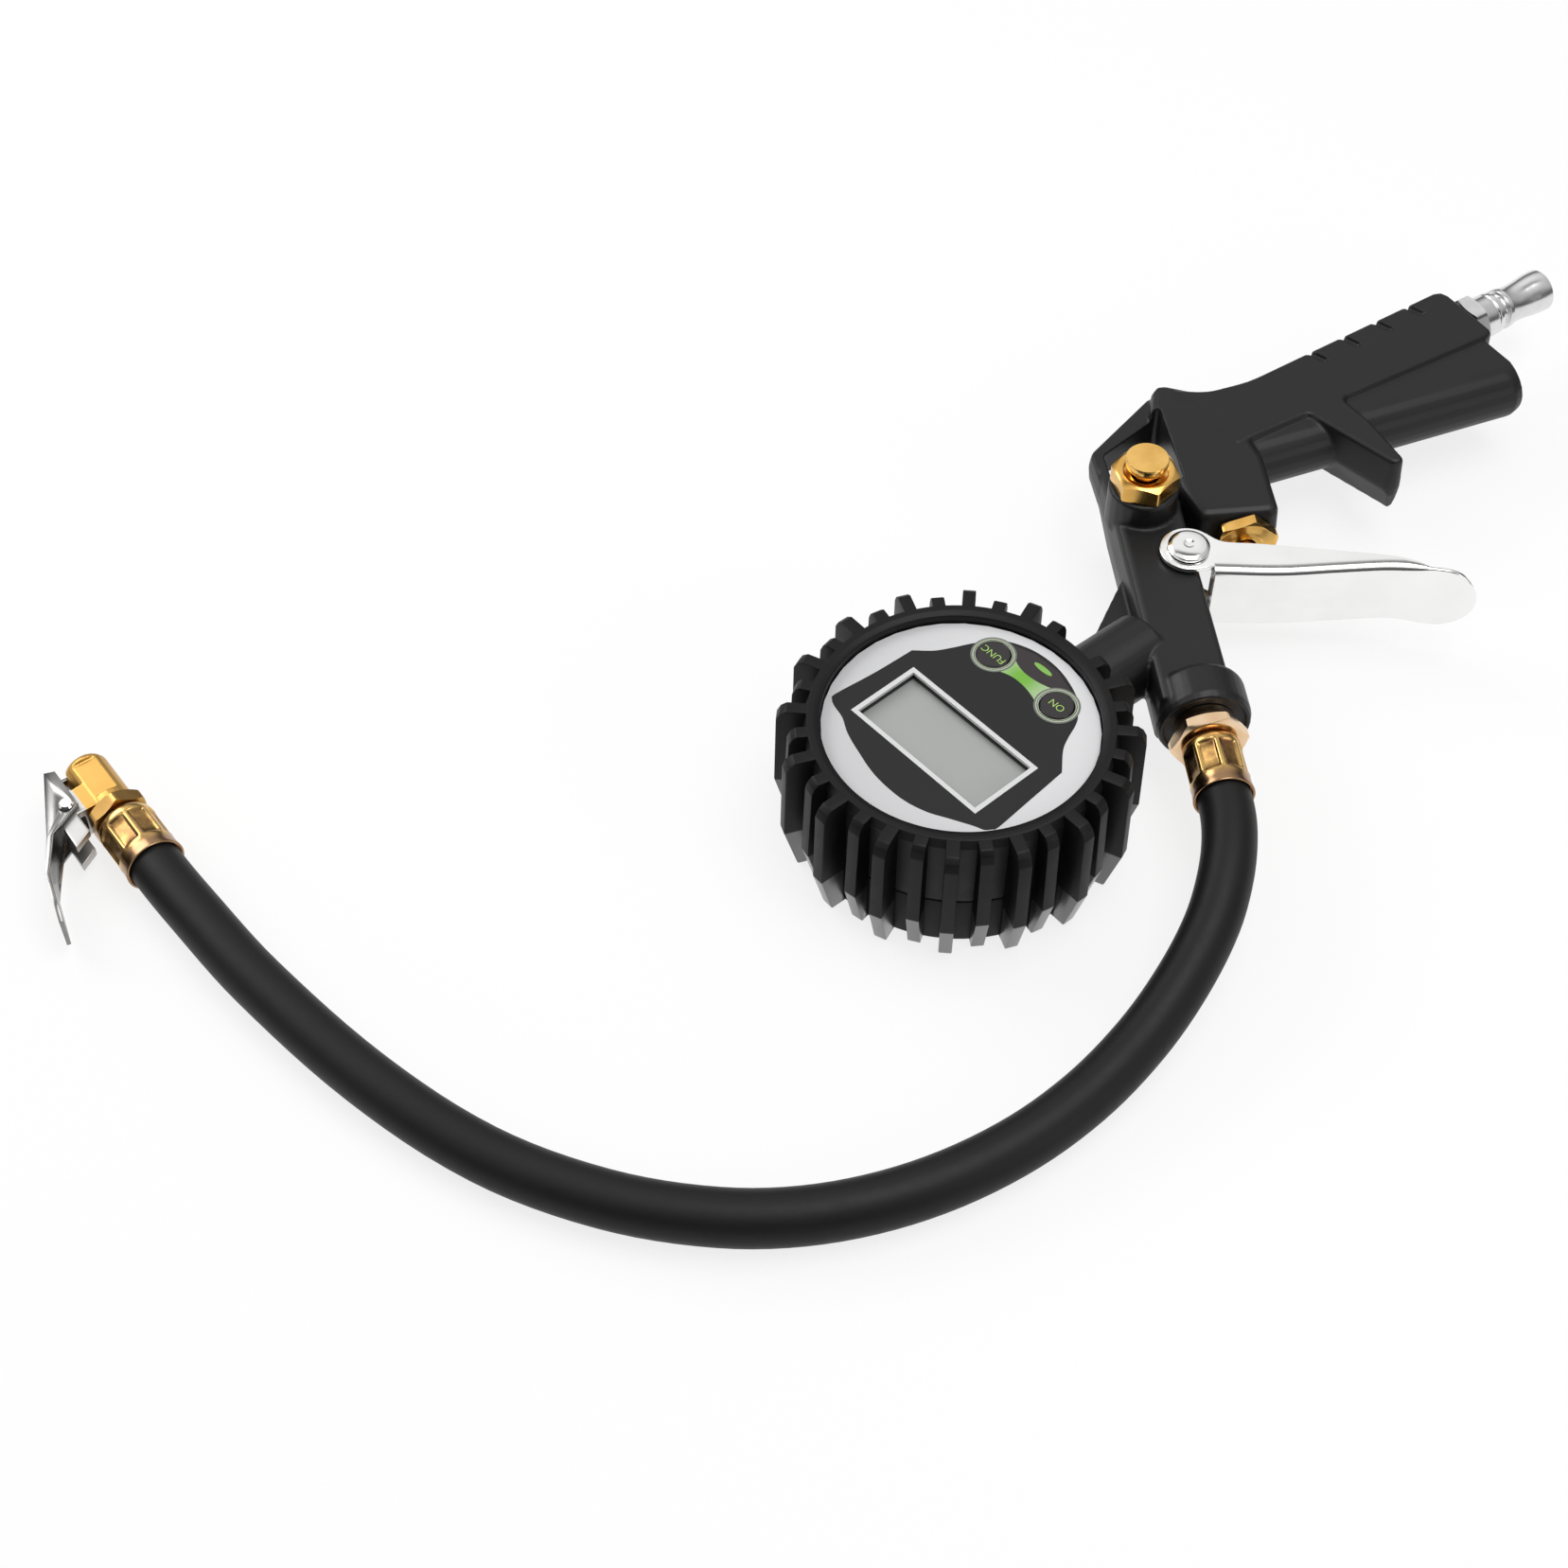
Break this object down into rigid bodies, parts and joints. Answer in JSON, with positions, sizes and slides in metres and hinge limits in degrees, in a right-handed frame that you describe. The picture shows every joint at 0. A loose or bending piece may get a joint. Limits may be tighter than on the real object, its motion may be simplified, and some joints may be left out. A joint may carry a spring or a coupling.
{
  "type": "tyre inflator with gauge",
  "caption": "Black gun-type tyre inflator with a digital gauge in a ribbed rubber boot, a short rubber hose and a brass clip-on chuck",
  "frame": {"origin": "On the gauge's axis, at the flat back of the gauge that rests on the bench", "axes": "+Z out of the dial, -Y along the hose outlet, +X towards the trigger lever and the handle"},
  "size_m": [0.4315, 0.293, 0.0458],
  "materials": {
    "powder_coat": "satin black powder coat on a zinc casting",
    "nickel": "bright nickel plate",
    "brass": "bright polished brass",
    "bronzed": "heat-tinted brass",
    "steel": "spring steel",
    "rubber": "black nitrile",
    "boot_rubber": "matte moulded rubber",
    "hose_rubber": "satin hose cover",
    "black_plastic": "moulded ABS",
    "key_black": "printed key",
    "switch_black": "tactile switch",
    "face_silver": "printed silver-grey face",
    "display_glass": "display glass",
    "display": "grey liquid crystal module",
    "board": "green circuit board",
    "battery": "battery sleeve"
  },
  "bodies": {
    "inflator": {"gun_body": "powder_coat", "inlet_plug": "nickel", "inlet_seal": "rubber", "inflate_valve_nut": "brass", "inflate_valve_spring": "steel", "trigger_pin": "nickel", "trigger_pin_clip": "steel", "bleed_nut": "brass", "bleed_spring": "steel", "gauge_boot": "boot_rubber", "case_back": "black_plastic", "battery_cover": "black_plastic", "cover_screw": "steel", "battery_a": "battery", "battery_b": "battery", "contact_plate_a": "steel", "contact_plate_b": "steel", "circuit_board": "board", "lcd_window": "display_glass", "lcd_module": "display", "case_front": "black_plastic", "face_plate": "face_silver", "func_switch": "switch_black", "on_switch": "switch_black", "gauge_stem": "brass", "pressure_sensor": "steel", "outlet_fitting": "brass", "hose_ferrule_gun": "bronzed", "hose_ferrule_chuck": "bronzed", "hose": "hose_rubber", "chuck_fitting": "bronzed", "chuck_body": "brass", "chuck_seal": "rubber", "chuck_pin": "nickel"},
    "trigger": {"trigger_lever": "nickel"},
    "inflate_stem": {"inflate_valve_stem": "brass", "inflate_valve_seal": "rubber"},
    "bleed": {"bleed_button": "brass", "bleed_seal": "rubber"},
    "func_key": {"func_button": "key_black"},
    "on_key": {"on_button": "key_black"},
    "clip": {"clip_lever": "nickel", "clip_spring": "steel"}
  },
  "joints": [
    {"name": "trigger_pivot", "type": "hinge", "parent": "inflator", "child": "trigger", "pos_m": [0.0703, 0.0607, 0.02], "axis": [0, 0, 1], "range_deg": [0, 12], "stiffness_Nm_per_rad": 0.4, "springref_deg": -11.46},
    {"name": "inflate_stem_slide", "type": "slide", "parent": "inflator", "child": "inflate_stem", "axis": [0, 1, 0], "range_m": [0, 0.004]},
    {"name": "bleed_slide", "type": "slide", "parent": "inflator", "child": "bleed", "axis": [0, 0, -1], "range_m": [0, 0.002], "stiffness_N_per_m": 1500, "springref_m": -0.002, "deforming": ["bleed_spring"]},
    {"name": "func_slide", "type": "slide", "parent": "inflator", "child": "func_key", "axis": [0, 0, -1], "range_m": [0, 0.0004], "stiffness_N_per_m": 2000, "springref_m": -0.0003},
    {"name": "on_slide", "type": "slide", "parent": "inflator", "child": "on_key", "axis": [0, 0, -1], "range_m": [0, 0.0004], "stiffness_N_per_m": 2000, "springref_m": -0.0003},
    {"name": "clip_pivot", "type": "hinge", "parent": "inflator", "child": "clip", "pos_m": [-0.22409, 0.01681, 0.0082], "axis": [0, 0, 1], "range_deg": [0, 18], "stiffness_Nm_per_rad": 0.15, "springref_deg": -17.19}
  ],
  "couplings": [
    {"joint": "inflate_stem_slide", "follows": "trigger_pivot", "m_per_rad": 0.0177}
  ]
}
